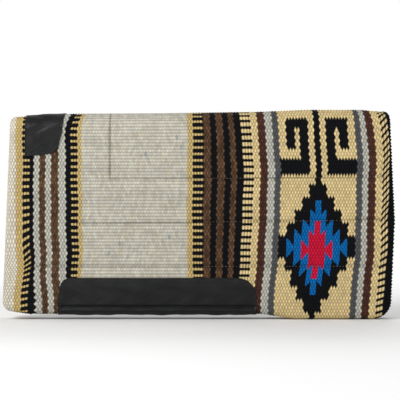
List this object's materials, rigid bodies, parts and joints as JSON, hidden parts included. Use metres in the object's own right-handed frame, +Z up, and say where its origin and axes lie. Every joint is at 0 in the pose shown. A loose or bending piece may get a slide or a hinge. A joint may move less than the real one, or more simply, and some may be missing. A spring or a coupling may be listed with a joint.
{
  "type": "saddle pad",
  "caption": "Folded western saddle pad: striped wool blanket over a felt core and fleece liner, with wear leathers at the withers and along the bottom edges; opens flat along its spine.",
  "frame": {"origin": "under the middle of the spine, on the inside of the fold, where the pad rests on a back or a rail", "axes": "+X to the rear of the pad, +Y from the near side to the far side, +Z up"},
  "size_m": [0.8787, 0.0696, 0.4648],
  "materials": {
    "wool_weave": "matte",
    "felt": "matte",
    "fleece": "matte",
    "leather": "satin",
    "black_thread": "satin",
    "cream_thread": "satin",
    "quilting_thread": "satin"
  },
  "bodies": {
    "ridge": {"ridge_blanket": "wool_weave", "ridge_core": "felt", "ridge_liner": "fleece", "ridge_wither_leather": "leather", "ridge_wither_stitching": "black_thread", "ridge_cross_seam": "quilting_thread"},
    "near_side": {"near_blanket": "wool_weave", "near_core": "felt", "near_liner": "fleece", "near_wither_leather": "leather", "near_wear_leather": "leather", "near_wither_stitching": "black_thread", "near_wear_stitching": "black_thread", "near_hem_stitching": "cream_thread", "near_cross_seam": "quilting_thread", "near_upper_quilting": "quilting_thread", "near_middle_quilting": "quilting_thread", "near_lower_quilting": "quilting_thread"},
    "far_side": {"far_blanket": "wool_weave", "far_core": "felt", "far_liner": "fleece", "far_wither_leather": "leather", "far_wear_leather": "leather", "far_wither_stitching": "black_thread", "far_wear_stitching": "black_thread", "far_hem_stitching": "cream_thread", "far_cross_seam": "quilting_thread", "far_upper_quilting": "quilting_thread", "far_middle_quilting": "quilting_thread", "far_lower_quilting": "quilting_thread"}
  },
  "joints": [
    {"name": "near_fold", "type": "hinge", "parent": "ridge", "child": "near_side", "pos_m": [0, -0.02513, 0.01713], "axis": [-1, 0, 0], "range_deg": [0, 90]},
    {"name": "far_fold", "type": "hinge", "parent": "ridge", "child": "far_side", "pos_m": [0, 0.02513, 0.01713], "axis": [1, 0, 0], "range_deg": [0, 90]}
  ]
}
